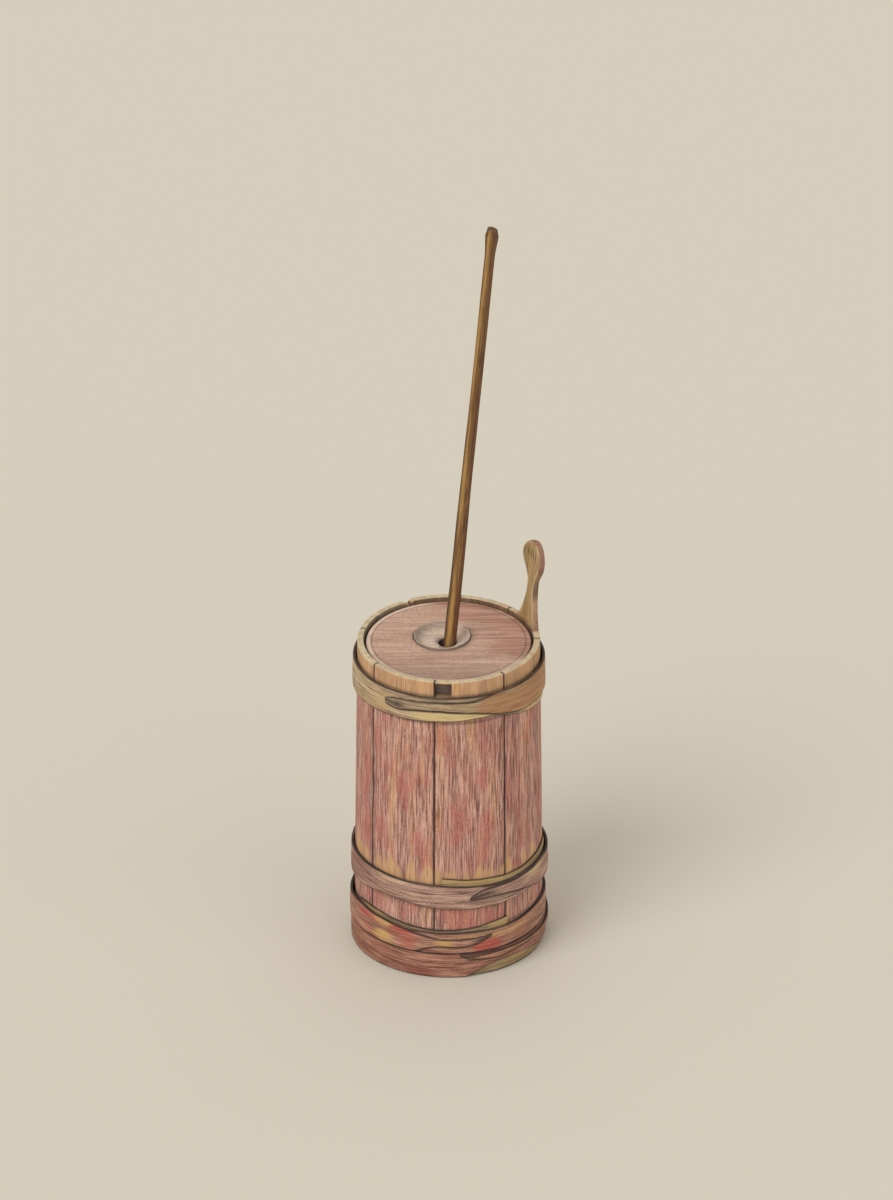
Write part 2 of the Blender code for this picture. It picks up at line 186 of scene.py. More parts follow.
LOWER_HOOP = (
    (-80, 42, 66, 2.2, 1.2),
    (-60, 38, 66, 2.2, 1.6),
    (-40, 36.5, 66, 2.2, 2.2),
    (-10, 36, 66, 2.2, 2.8),
    (6, 36, 66, 2.2, 2.9),
    (34, 36, 65.4, 2.2, 3.0),
    (45, 36, 65, 0.5, 3.3),
    (64, 36, 69, 0.4, 3.5),
    (90, 36, 68, 0.4, 3.5),
    (180, 36, 68, 0.4, 3.5),
    (262, 36, 69, 0.6, 3.5),
    (280, 37, 72, 3.7, 3.2),
    (300, 38.5, 74.5, 4.1, 3.0),
    (320, 38.5, 71.6, 4.8, 2.8),
    (333, 38, 67.6, 5.2, 2.7),
    (341, 37.4, 64, 5.3, 2.6),
    (346, 44.6, 62, 5.3, 2.4),
    (354, 48.4, 57.6, 5.3, 2.3),
    (366, 46.5, 57, 5.3, 2.2),
    (375, 48.7, 57.6, 5.3, 2.0),
    (381, 53.2, 58.5, 5.3, 1.7),
    (386, 58.4, 59.6, 5.3, 1.2),
)
LOWER_TAIL = (
    (-68, 56, 75, 0.3, 1.2),
    (-62, 55, 77, 0.3, 1.6),
    (-44, 55, 76.7, 0.3, 1.7),
    (-28, 55, 72, 0.3, 1.7),
    (-10, 55, 69, 0.3, 1.7),
    (6, 55, 69, 0.3, 1.7),
    (15, 56, 71, 0.3, 1.7),
    (37.6, 58, 77, 0.3, 1.7),
)
BOTTOM_HOOP = (
    (108, 5, 35.8, 2.1, 1.2),
    (90, 6, 35.8, 2.1, 1.5),
    (71, 7, 35.8, 2.1, 1.8),
    (56, 12.6, 35.8, 2.1, 2.2),
    (41, 17.8, 35.8, 2.1, 2.4),
    (27, 16, 35.8, 2.1, 2.6),
    (19, 10.5, 35.8, 2.1, 2.7),
    (11, 1, 35.8, 2.1, 2.8),
    (0, 0.8, 35.8, 0.7, 3.3),
    (-45, 0.8, 35.8, 0.5, 3.5),
    (-90, 0.8, 35.8, 0.9, 3.5),
    (-180, 0.8, 35.8, 0.4, 3.5),
    (-234, 0.8, 35.8, 0.6, 3.5),
    (-252, 0.8, 35.8, 3.5, 3.2),
    (-260, 3, 35.4, 3.7, 3.1),
    (-268, 15, 33.5, 3.9, 2.9),
    (-276, 22.5, 32, 4.0, 2.8),
    (-290, 24.7, 31.2, 4.2, 2.6),
    (-306, 27, 31.7, 4.6, 2.4),
    (-317, 26, 32, 4.7, 2.3),
    (-328, 23.4, 33, 4.9, 2.3),
    (-341, 25.5, 33.7, 5.0, 2.2),
    (-350, 29, 35.2, 5.0, 1.8),
    (-354, 35.4, 36.4, 5.0, 1.2),
)
BOTTOM_TAIL = (
    (112, 1, 18, 0.3, 1.4),
    (60, 1, 18, 0.3, 1.7),
    (11, 1, 16, 0.3, 1.7),
)

# How far a raised edge hides what is under it, for each metre that it stands off
VIEW_SLOPE = 0.55

# How a strip is drawn: the angles averaged at a station, the eased edges, rows and waviness
BLUR = (-3.0, -2.0, -1.0, 0.0, 1.0, 2.0, 3.0)
STRIP_EDGE = 0.0009
STRIP_INSETS = ((0.6, 0.12), (1.3, 0.24), (2.2, 0.36))
STRIP_CROWN = 0.0003
STRIP_LIFT = 0.0003
STRIP_BULGE = 0.0003
STRIP_STRAY = 0.0006
STRAY_WIDTH = 0.020
ROW_WIDTH = 1.6

# Meshes: the sharpest bend that is shaded smooth, and lengths that count as none
SHARP_ANGLE = 40.0
SAME_POINT = 0.000001
NO_LENGTH = 0.0000001

# Wood: the scale of each noise along, across and through the grain
FIBRES = (26.0, 620.0, 300.0)
BANDS = (5.0, 85.0, 60.0)
BLOTCHES = (16.0, 34.0, 34.0)
DOTS = (700.0, 700.0, 700.0)
CRACKS = (30.0, 900.0, 400.0)
FIBRE_SOFTNESS = 0.17
BUMP_STRENGTH = 0.45
BUMP_DISTANCE = 0.0006
SPECULAR = 0.3

# Lights, each with its place, its spread in degrees and its strength
LIGHTS = (
    ("key", (-2.2, -2.6, 3.6), 38.0, 1.36),
    ("fill", (2.8, -2.4, 2.0), 60.0, 0.38),
    ("back", (0.5, 3.2, 3.0), 60.0, 0.22),
)
LIGHT_AIM = Vector((0.0, 0.0, 0.3))
WORLD_STRENGTH = 0.63
FLOOR_SIZE = 60.0

# Camera
EYE_ELEVATION = 29.0
EYE_DISTANCE = 20.0
EYE_LENS = 470.3
EYE_AIM = Vector((-0.0028, 0.0, 0.4854))
EYE_RANGE = 100.0


# ---------------------------------------------------------------- small helpers


def polar(radius, angle, height):
    """The point at a radius, an angle in degrees from -Y towards +X, and a height."""
    turn = math.radians(angle)
    return Vector((radius * math.sin(turn), -radius * math.cos(turn), height))


def angle_of(point):
    """The angle of a point round the barrel, in degrees from -Y towards +X."""
    return math.degrees(math.atan2(point.x, -point.y))


def smooth(share):
    """An ease from 0 to 1, level at both ends."""
    share = min(max(share, 0.0), 1.0)
    return share * share * (3.0 - 2.0 * share)


def near(value, middle, reach):
    """1 at the middle, easing to 0 at the reach on both sides."""
    return 1.0 - smooth(abs(value - middle) / reach)


def apart(a, b):
    """The angle between two directions, 0 to 180 degrees."""
    return abs((a - b + 180.0) % 360.0 - 180.0)


def stave_radius(height):
    """Outer radius of the staves, which splay towards the floor."""
    rise = max(height, 0.0) / RIM
    return BASE_RADIUS + (RIM_RADIUS - BASE_RADIUS) * rise ** SPLAY_POWER


def wander(*place):
    """Smooth noise from -1 to 1, the same each run. Its numbers only pick a place in the noise."""
    return noise.noise(Vector(place))


def linear(red, green, blue):
    """A colour written as it looks on a screen, 0 to 255, in linear light by the sRGB curve."""
    shares = [value / 255.0 for value in (red, green, blue)]
    return (*(((s + 0.055) / 1.055) ** 2.4 if s > 0.04 else s / 12.92 for s in shares), 1.0)


# ---------------------------------------------------------------- materials


class Graph:
    """A material's node tree, with short calls for the few nodes used here."""

    # Sockets of the Mix node when it mixes colours
    MIX_FIRST, MIX_SECOND, MIX_RESULT = 6, 7, 2

    def __init__(self, name):
        self.material = bpy.data.materials.new(name)
        self.material.use_nodes = True
        self.nodes = self.material.node_tree.nodes
        self.links = self.material.node_tree.links
        self.shader = self.nodes["Principled BSDF"]

    def plug(self, value, socket):
        """Link a socket, or set a plain value."""
        if isinstance(value, bpy.types.NodeSocket):
            self.links.new(value, socket)
        else:
            socket.default_value = value

    def attribute(self, name, output="Fac"):
        """A named attribute of the mesh."""
        made = self.nodes.new("ShaderNodeAttribute")
        made.attribute_name = name
        return made.outputs[output]

    def mapped(self, vector, scale, turn=(0.0, 0.0, 0.0), shift=(0.0, 0.0, 0.0)):
        """A vector scaled, turned and moved."""
        made = self.nodes.new("ShaderNodeMapping")
        self.plug(vector, made.inputs["Vector"])
        made.inputs["Scale"].default_value = scale
        made.inputs["Rotation"].default_value = turn
        made.inputs["Location"].default_value = shift
        return made.outputs["Vector"]

    def noise(self, vector, detail=4.0, roughness=0.6):
        """Noise, about 0.5 on average."""
        made = self.nodes.new("ShaderNodeTexNoise")
        made.inputs["Scale"].default_value = 1.0
        made.inputs["Detail"].default_value = detail
        made.inputs["Roughness"].default_value = roughness
        self.plug(vector, made.inputs["Vector"])
        return made.outputs["Fac"]

    def ramp(self, value, low, high, out_low=0.0, out_high=1.0):
        """A smooth step of a value from one range to another."""
        made = self.nodes.new("ShaderNodeMapRange")
        made.interpolation_type = "SMOOTHSTEP"
        self.plug(value, made.inputs["Value"])
        made.inputs["From Min"].default_value = low
        made.inputs["From Max"].default_value = high
        made.inputs["To Min"].default_value = out_low
        made.inputs["To Max"].default_value = out_high
        return made.outputs["Result"]

    def math(self, operation, a, b=0.0):
        """A sum on two numbers."""
        made = self.nodes.new("ShaderNodeMath")
        made.operation = operation
        self.plug(a, made.inputs[0])
        self.plug(b, made.inputs[1])
        return made.outputs["Value"]

    def mix(self, share, a, b, blend="MIX"):
        """Two colours mixed."""
        made = self.nodes.new("ShaderNodeMix")
        made.data_type = "RGBA"
        made.blend_type = blend
        self.plug(share, made.inputs[0])
        self.plug(a, made.inputs[self.MIX_FIRST])
        self.plug(b, made.inputs[self.MIX_SECOND])
        return made.outputs[self.MIX_RESULT]

    def bump(self, height, strength, distance):
        """A bumped normal."""
        made = self.nodes.new("ShaderNodeBump")
        made.inputs["Strength"].default_value = strength
        made.inputs["Distance"].default_value = distance
        self.plug(height, made.inputs["Height"])
        return made.outputs["Normal"]


def wood_finish(name, light, dark, patch, bare, tint, soil_and_shade, streak=1.0, turn=None):
    """Worn, painted or unpainted wood: fibres along its grain, blotches, wear, tints, soiling, and
    painted light and shade.

    Its mesh carries the grain direction and, at each place, shares of unpainted wood, of tinting and
    of soiling, which also carry painted highlights and painted shade. A carried over CAD piece has
    none of these, so its grain comes from its own coordinates, turned.
    """
    graph = Graph(name)
    if turn is None:
        grain = graph.attribute("grain", "Vector")
    else:
        own = graph.nodes.new("ShaderNodeTexCoord").outputs["Object"]
        grain = graph.mapped(own, (1.0, 1.0, 1.0), turn)
    fine = graph.noise(graph.mapped(grain, FIBRES), 3.0, 0.65)
    band = graph.noise(graph.mapped(grain, BANDS, shift=(3.1, 0.7, 0.2)), 3.0, 0.55)
    blotch = graph.noise(graph.mapped(grain, BLOTCHES, shift=(9.0, 4.0, 1.0)), 4.0, 0.6)
    dots = graph.noise(graph.mapped(grain, DOTS), 2.0, 0.6)
    crack = graph.noise(graph.mapped(grain, CRACKS, shift=(5.0, 2.0, 7.0)), 2.0, 0.5)

    step = FIBRE_SOFTNESS / streak
    colour = graph.mix(graph.ramp(fine, 0.50 - step, 0.50 + step), dark, light)
    layers = (
        (blotch, 0.42, 0.68, 0.70, patch), (band, 0.52, 0.75, 0.45, bare),
        (dots, 0.52, 0.70, 0.45, light), (dots, 0.48, 0.30, 0.40, dark),
    )
    for value, low, high, most, tone in layers:
        colour = graph.mix(graph.ramp(value, low, high, 0.0, most), colour, tone)
    if turn is None:
        # Unpainted wood, and on the rod a painted highlight down its lit side.
        worn_and_lit = graph.math("ADD", graph.attribute("bare"), graph.ramp(band, 0.3, 0.7, -0.4, 0.4))
        bare_tone = graph.mix(graph.ramp(fine, 0.3, 0.7, 0.0, 0.6), bare, light)
        colour = graph.mix(graph.ramp(worn_and_lit, 0.3, 0.75), colour, bare_tone)
        # Paint tints, and on the rod painted shade down its right side.
        tinted = graph.math("ADD", graph.attribute("tint"), graph.ramp(blotch, 0.35, 0.65, -0.4, 0.3))
        tint_tone = graph.mix(graph.ramp(fine, 0.3, 0.7, 0.0, 0.5), tint, light)
        colour = graph.mix(graph.ramp(tinted, 0.25, 0.85), colour, tint_tone)
    colour = graph.mix(graph.ramp(crack, 0.60, 0.70, 0.0, 0.65 * streak), colour, soil_and_shade)
    level = graph.ramp(band, 0.25, 0.75, 1.0 - 0.20 * streak, 1.0 + 0.12 * streak)
    grey = graph.nodes.new("ShaderNodeCombineColor")
    for channel in range(3):
        graph.plug(level, grey.inputs[channel])
    colour = graph.mix(1.0, colour, grey.outputs["Color"], "MULTIPLY")
    if turn is None:
        # Soiling and painted shade: one dark colour, laid by the mesh's share, stands for grime and
        # for shade and shadows.
        grime_and_shade = graph.math("MULTIPLY", graph.attribute("dirt"), graph.ramp(blotch, 0.2, 0.7, 0.7, 1.0))
        colour = graph.mix(grime_and_shade, colour, soil_and_shade)
    graph.plug(colour, graph.shader.inputs["Base Color"])
    graph.plug(graph.ramp(fine, 0.3, 0.7, 0.78, 0.60), graph.shader.inputs["Roughness"])
    relief = graph.math("ADD", fine, graph.math("MULTIPLY", crack, -0.6))
    graph.plug(graph.bump(relief, BUMP_STRENGTH, BUMP_DISTANCE), graph.shader.inputs["Normal"])
    graph.shader.inputs["Specular IOR Level"].default_value = SPECULAR
    return graph.material


def make_materials():
    """Every finish of the churn, by name."""
    # One dark colour for grime, cracks, and painted shade and shadow.
    soil_and_shade = linear(50, 42, 40)
    tan = linear(196, 164, 124)
    # Light, dark, patch, unpainted and tint tones as they look on a screen, and how streaky it is; on
    # the rod the unpainted tone paints a highlight and the tint tone paints shade
    rows = {
        "painted_stave": (
            (226, 178, 162), (114, 72, 62), (186, 104, 94), (184, 144, 86), (196, 186, 146), 1.0,
        ),
        "handle_wood": (
            (200, 170, 122), (122, 98, 64), (186, 150, 90), (200, 172, 130), (176, 118, 104), 0.8,
        ),
        "ochre_hoop": (
            (214, 188, 154), (126, 102, 80), (186, 154, 114), (206, 182, 122), (164, 112, 66), 0.9,
        ),
        "brown_hoop": (
            (214, 174, 158), (106, 76, 64), (158, 116, 100), (190, 168, 118), (110, 70, 58), 0.9,
        ),
        "red_hoop": (
            (204, 156, 134), (108, 72, 58), (160, 108, 84), (200, 162, 92), (172, 64, 56), 0.9,
        ),
        "brick_hoop": (
            (196, 142, 122), (88, 48, 38), (124, 70, 54), (190, 154, 96), (118, 54, 44), 0.9,
        ),
        "tail_wood": (
            (186, 160, 126), (86, 70, 56), (146, 118, 84), (174, 144, 92), (130, 96, 66), 1.0,
        ),
        "lid_wood": (
            (224, 188, 166), (158, 122, 104), (190, 150, 128), (214, 190, 172), (158, 106, 88), 0.45,
        ),
        "cup_wood": (
            (222, 202, 184), (176, 148, 130), (206, 180, 160), (214, 194, 168), (190, 150, 132), 0.5,
        ),
        "rod_wood": (
            (154, 114, 68), (78, 54, 34), (128, 90, 50), (176, 136, 76), (96, 56, 40), 1.0,
        ),
        "soaked_wood": (
            (176, 138, 98), (112, 82, 56), (150, 112, 78), (168, 134, 96), (140, 104, 72), 0.8,
        ),
    }
    made = {}
    for name, (light, dark, patch, bare, tint, streak) in rows.items():
        tones = [linear(*tone) for tone in (light, dark, patch, bare, tint)]
        made[name] = wood_finish(name, *tones, soil_and_shade, streak)
    made["bare_wood"] = wood_finish(
        "bare_wood", linear(206, 176, 134), linear(150, 118, 84), tan, tan, tan, soil_and_shade, 0.8,
        turn=(0.0, 0.0, math.radians(90.0)),
    )
    return made


# ---------------------------------------------------------------- meshes


def skin(name, rings):
    """A closed mesh over rings that have the same number of points."""
    count = len(rings[0])
    points = [tuple(point) for ring in rings for point in ring]
    faces = []
    for row in range(len(rings) - 1):
        for i in range(count):
            j = (i + 1) % count
            first = row * count
            faces.append((first + i, first + j, first + count + j, first + count + i))
    faces.append(tuple(reversed(range(count))))
    faces.append(tuple(range(len(points) - count, len(points))))
    data = bpy.data.meshes.new(name)
    data.from_pydata(points, [], faces)
    return closed(data)


def shade(data):
    """Shade a mesh smooth, apart from its sharp edges."""
    data.shade_smooth()
    data.set_sharp_from_angle(angle=math.radians(SHARP_ANGLE))


def closed(data):
    """Point a mesh's faces outwards and shade it."""
    work = bmesh.new()
    work.from_mesh(data)
    bmesh.ops.recalc_face_normals(work, faces=work.faces)
    work.to_mesh(data)
    work.free()
    shade(data)
    return data


def turned(name, outline, steps=120):
    """A turned mesh from (radius, height) points that run down its outer side."""
    count = len(outline)
    points = []
    for step in range(steps):
        turn = 360.0 * step / steps
        points += [tuple(polar(radius, turn, height)) for radius, height in outline]
    faces = []
    for step in range(steps):
        after = (step + 1) % steps
        for i in range(count - 1):
            here, there = step * count + i, after * count + i
            faces.append((here, there, there + 1, here + 1))
    data = bpy.data.meshes.new(name)
    data.from_pydata(points, [], faces)
    work = bmesh.new()
    work.from_mesh(data)
    bmesh.ops.remove_doubles(work, verts=work.verts, dist=SAME_POINT)
    bmesh.ops.dissolve_degenerate(work, dist=NO_LENGTH, edges=work.edges)
    work.to_mesh(data)
    work.free()
    return closed(data)


def arc(centre, radius, start, end, count):
    """Points of an arc in the plane of radius and height, in degrees."""
    turns = [math.radians(start + (end - start) * i / count) for i in range(count + 1)]
    return [(centre[0] + radius * math.cos(t), centre[1] + radius * math.sin(t)) for t in turns]


def linked(name, data):
    """A new object of a mesh, in the scene."""
    made = bpy.data.objects.new(name, data)
    bpy.context.scene.collection.objects.link(made)
    return made


def cut(item, cutter):
    """Cut a piece with another, and remove the other."""
    change = item.modifiers.new("Cut", "BOOLEAN")
    change.operation = "DIFFERENCE"
    change.object = cutter
    change.solver = "EXACT"
    graph = bpy.context.evaluated_depsgraph_get()
    data = bpy.data.meshes.new_from_object(item.evaluated_get(graph))
    item.modifiers.clear()
    item.data = data
    bpy.data.objects.remove(cutter)
    shade(data)


def block(name, low, high, turn=0.0):
    """A box between two corners, turned about Z by an angle in radians."""
    work = bmesh.new()
    bmesh.ops.create_cube(work, size=1.0)
    low, high = Vector(low), Vector(high)
    bmesh.ops.scale(work, vec=high - low, verts=work.verts)
    bmesh.ops.translate(work, vec=(high + low) / 2.0, verts=work.verts)
    bmesh.ops.rotate(work, verts=work.verts, matrix=Matrix.Rotation(turn, 3, "Z"))
    data = bpy.data.meshes.new(name)
    work.to_mesh(data)
    work.free()
    return linked(name, data)


def mark(data, grain, **shares):
    """Write the grain direction and the shares of unpainted wood, tinting and soiling at a mesh's
    vertices; they also carry painted highlights and painted shade.
    """
    points = [vertex.co for vertex in data.vertices]
    store = data.attributes.new("grain", "FLOAT_VECTOR", "POINT")
    for i, point in enumerate(points):
        store.data[i].vector = grain(point)
    for name in ("bare", "tint", "dirt"):
        store = data.attributes.new(name, "FLOAT", "POINT")
        share = shares.get(name)
        for i, point in enumerate(points):
            store.data[i].value = share(point) if share else 0.0


def settle(item, body, finish, slot, *nodes):
    """Give a piece its finish, its body and the CAD nodes that it stands for. Its slot is not used."""
    item.data.materials.clear()
    item.data.materials.append(FINISHES[finish])
    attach(item, body)
    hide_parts(*nodes)


# ---------------------------------------------------------------- staves


def stave_outline():
    """A stave's section: (radius, height) points up its outer face, over the rim and down inside."""
    edge = RIM_EDGE
    heights = [edge + (RIM - 2.0 * edge) * i / OUTER_STEPS for i in range(OUTER_STEPS + 1)]
    outer = [(stave_radius(height), height) for height in heights]
    crown = arc((RIM_RADIUS - edge, RIM - edge), edge, 20, 90, 3)
    crown += arc((LEDGE_RADIUS + edge, RIM - edge), edge, 90, 180, 3)

    def inner(height):
        return stave_radius(height) - WALL

    ledge = [
        (LEDGE_RADIUS, LEDGE_HEIGHT + 0.0100),
        (LEDGE_RADIUS, LEDGE_HEIGHT + 0.0006),
        (LEDGE_RADIUS - 0.0004, LEDGE_HEIGHT),
        (inner(LEDGE_HEIGHT) + 0.0008, LEDGE_HEIGHT - 0.0001),
        (inner(LEDGE_HEIGHT), LEDGE_HEIGHT - 0.0009),
    ]
    wall = [(inner(height), height) for height in [0.39 - 0.028 * i for i in range(13)]]
    low, high, depth = CROZE
    groove = [
        (inner(high), high), (inner(high) + depth, high),
        (inner(low) + depth, low), (inner(low), low),
    ]
    foot = [
        (inner(CHIME[0]), CHIME[0]),
        (inner(0.0) + CHIME[1], FOOT_GAP),
        (BASE_RADIUS - edge, FOOT_GAP),
        (BASE_RADIUS - 0.0004, FOOT_GAP + 0.0004),
    ]
    return outer + crown + ledge + wall + groove + foot


def rim_drop(angle, start, end, number):
    """How far the rim falls at an angle: staves differ a little, and one corner is rubbed away."""
    drop = STAVE_DROP * (1.0 + wander(number * 3.7, 0.0, 0.0))
    drop += RIM_RIPPLE * wander(angle * 0.2, 1.0, 5.0)
    if LOW_SEAM in (start, end):
        drop += STAVE_DROP
    if start == NICK_SEAM:
        depth, reach = NICK_AFTER
        drop += depth * (1.0 - smooth((angle - start) / reach))
    if end == NICK_SEAM:
        depth, reach = NICK_BEFORE
        drop += depth * (1.0 - smooth((end - angle) / reach))
    return drop


def stave_mesh(number, start, end):
    """One stave: its outline swept between two seams, with eased arrises and a shaved face."""
    outline = stave_outline()
    gap = math.degrees(SEAM_GAP / RIM_RADIUS)
    eases = [math.degrees(ease * MM / RIM_RADIUS) for ease in SEAM_EASES]
    low, high = start + gap, end - gap
    span = high - low - 2.0 * eases[-1]
    inside = max(4, round(span / STAVE_STEP))
    angles = [low + ease for ease in eases[:-1]]
    angles += [low + eases[-1] + span * i / inside for i in range(inside + 1)]
    angles += [high - ease for ease in reversed(eases[:-1])]
    rings = []
    for angle in angles:
        to_seam = math.radians(min(angle - low, high - angle)) * RIM_RADIUS
        ease = SEAM_DEPTH * max(0.0, 1.0 - to_seam / (SEAM_EASES[-1] * MM)) ** 2
        drop = rim_drop(angle, start, end, number)
        ring = []
        for radius, height in outline:
            if radius > stave_radius(height) - WALL * 0.4:
                shaved = SHAVED_WIDE * wander(angle * 0.11 + number * 9.0, height * 7.0, 2.0)
                shaved += SHAVED_FINE * wander(angle * 0.8, height * 30.0, number * 1.0)
                radius += shaved - ease
            else:
                radius += ease * 0.6
            height -= drop * smooth((height - LEDGE_HEIGHT) / (RIM - LEDGE_HEIGHT))
            ring.append(polar(radius, angle, height))
        rings.append(ring)
    return skin(STAVES[number], rings)


def mark_stave(data, number, start, end):
    """Grain, unpainted wood, pale rim, dark seams, and painted shade along the hoops' edges and inside
    the rim above the lid.
    """
    middle = (start + end) / 2.0

    def grain(point):
        return (
            point.z + 1.7 * number,
            math.radians((angle_of(point) - middle + 180.0) % 360.0) * RIM_RADIUS + 0.31 * number,
            math.hypot(point.x, point.y),
        )

    def bare(point):
        radius = math.hypot(point.x, point.y)
        if radius < stave_radius(point.z) - WALL * 0.5 or point.z < 0.0010:
            return 1.0
        above_hoop = 1.0 if point.z > BARE_BAND else 0.0
        low, level, reach = WORN_FOOT
        worn_foot = 0.85 * (1.0 - smooth((point.z - level) / reach)) if point.z > low else 0.0
        rub = 0.30 * near(point.z, 0.30, 0.05) * smooth(wander(angle_of(point) * 0.08, 3.0, 1.0) * 2.0)
        return max(above_hoop, worn_foot, rub)

    def tint(point):
        pale = PALE_RIM + (PALE_BACK if number >= 6 else 0.0)
        return 1.0 if point.z > RIM - pale else 0.0

    def dirt(point):
        angle = angle_of(point)
        to_seam = min(apart(angle, start), apart(angle, end))
        seam = 1.0 - smooth((math.radians(to_seam) * RIM_RADIUS - 0.0003) / (2.1 * MM))
        # Painted shade along the hoops' edges, where the hoops shadow the staves.
        lines = [abs(point.z - edge) for edge in HOOP_EDGES]
        hoop = 0.55 * (1.0 - smooth(min(lines) / 0.0035))
        # Painted shade on the inner face above the lid's ledge.
        inside = 0.0
        if LEDGE_HEIGHT - 0.001 < point.z < RIM - 0.0008:
            if math.hypot(point.x, point.y) < LEDGE_RADIUS + 0.0012:
                inside = 0.75
        return max(seam, hoop, inside)

    mark(data, grain, bare=bare, tint=tint, dirt=dirt)


def handle_half_width(rise):
    """Half the handle's width at a height above the rim: a flared root, a neck and a knob."""
    if rise < NECK_RISE:
        flare = (1.0 - max(rise, 0.0) / NECK_RISE) ** 2.2
        return HANDLE_NECK + (HANDLE_BASE - HANDLE_NECK) * flare
    if rise < KNOB_RISE:
        swell = smooth((rise - NECK_RISE) / (KNOB_RISE - NECK_RISE))
        return HANDLE_NECK + (HANDLE_KNOB - HANDLE_NECK) * swell
    share = (rise - KNOB_RISE) / (HANDLE_RISE - KNOB_RISE)
    return HANDLE_KNOB * math.sqrt(max(1.0 - share * share, 0.0))


def handle_mesh():
    """The handle above the rim: rounded edges on a curved board, with its root in the stave."""
    crown = HANDLE_RISE - KNOB_RISE
    rises = [-HANDLE_ROOT + (KNOB_RISE + HANDLE_ROOT) * i / 44 for i in range(45)]
    rises += [KNOB_RISE + crown * math.sin(math.radians(turn)) for turn in range(5, 88, 4)]
    rises.append(HANDLE_RISE - 0.00012)
    outer = RIM_RADIUS - 0.0002
    inner = outer - HANDLE_THICKNESS
    rings = []
    for rise in rises:
        half = max(handle_half_width(rise), 0.0014)
        softer = smooth(rise / 0.008)
        edge = min(HANDLE_EDGE * softer + 0.0003, half * 0.5, HANDLE_THICKNESS * 0.45)
        wave = 0.0004 * wander(rise * 30.0, 4.0, 0.0)
        lean = HANDLE_LEAN * max(rise, 0.0)
        flat = half - edge
        section = arc((flat, outer - edge), edge, 90.0, 0.0, 4)
        section += arc((flat, inner + edge), edge, 0.0, -90.0, 4)
        section += [(flat * (1.0 - share / 15.0), inner) for share in range(1, 30)]
        section += arc((-flat, inner + edge), edge, -90.0, -180.0, 4)
        section += arc((-flat, outer - edge), edge, -180.0, -270.0, 4)
        section += [(-flat * (1.0 - share / 5.0), outer) for share in range(1, 10)]
        ring = []
        for across, depth in section:
            turned_by = math.degrees((across + wave) / outer)
            ring.append(polar(depth + lean, HANDLE_ANGLE + turned_by, RIM + rise))
        rings.append(ring)
    return skin("handle_lug", rings)


def mark_handle(data):
    """Grain, paint left on the outer face and edges, pale margins, knife marks, darker edges, and
    painted shade at the root and down one side of the neck.
    """
    middle = RIM_RADIUS - HANDLE_THICKNESS / 2.0

    def across(point):
        return math.radians(angle_of(point) - HANDLE_ANGLE) * RIM_RADIUS

    def outward(point):
        lean = HANDLE_LEAN * max(point.z - RIM, 0.0)
        return math.hypot(point.x, point.y) - middle - lean

    def margin(point, reach):
        half = max(handle_half_width(point.z - RIM), 0.001)
        return smooth((abs(across(point)) - half + reach) / (reach * 0.8))

    def tint(point):
        return max(0.9 * margin(point, 0.0022), smooth((outward(point) - 0.0016) / 0.0020) * 0.9)

    def bare(point):
        return 0.7 * margin(point, 0.0075)

    def dirt(point):
        rise = point.z - RIM
        inner = 1.0 if outward(point) < 0.0 else 0.0
        marks = max(near(across(point), place, 0.0026) for place in KNIFE_MARKS)
        top = 0.95 * inner * marks * near(rise, KNOB_RISE + 0.006, 0.011)
        # Painted shade in the crease where the handle rises from the rim.
        root = 0.4 * (1.0 - smooth((rise + 0.001) / 0.004))
        side = margin(point, 0.0018)
        # Painted shade down one side of the neck.
        neck = 0.9 * near(rise, 0.050, 0.036) * side * (across(point) < 0.0)
        return max(top, root, neck, 0.4 * side)

    def grain(point):
        return point.z + 9.0, across(point), math.hypot(point.x, point.y)

    mark(data, grain, bare=bare, tint=tint, dirt=dirt)


def make_staves():
    """The eight staves. The handle is a lug on one of them, and one has the mortise."""
    for number, (name, start) in enumerate(zip(STAVES, SEAMS)):
        end = SEAMS[(number + 1) % len(SEAMS)]
        end += 360.0 if end < start else 0.0
        made = linked(name + "_wood", stave_mesh(number, start, end))
        if number == 1:
            half = MORTISE[0] / 2.0
            turn = math.radians(start) + (half - 0.001) / RIM_RADIUS
            low = (-half, -RIM_RADIUS - OVERCUT, MORTISE[1])
            high = (half, -LEDGE_RADIUS + OVERCUT, MORTISE[2])
            cut(made, block("mortise_block", low, high, turn))
        mark_stave(made.data, number, start, end)
        settle(made, "barrel", "painted_stave", "painted_stave", name)
    lug = linked("handle_lug", handle_mesh())
    mark_handle(lug.data)
    settle(lug, "barrel", "handle_wood", "painted_stave", "handle_stave")


# ---------------------------------------------------------------- hoops


def station(table, angle):
    """The four measures of a strip at an angle, eased between its stations."""
    way = 1.0 if table[-1][0] > table[0][0] else -1.0
    found = [0.0, 0.0, 0.0, 0.0]
    first, last = sorted((table[0][0], table[-1][0]))
    room = min(angle - first, last - angle, BLUR[-1]) / BLUR[-1]
    for offset in BLUR:
        place = angle + offset * room
        for before, after in zip(table, table[1:]):
            if way * (after[0] - place) >= -SAME_POINT:
                break
        share = (place - before[0]) / (after[0] - before[0])
        for i in range(4):
            found[i] += (before[i + 1] + (after[i + 1] - before[i + 1]) * share) / len(BLUR)
    return found


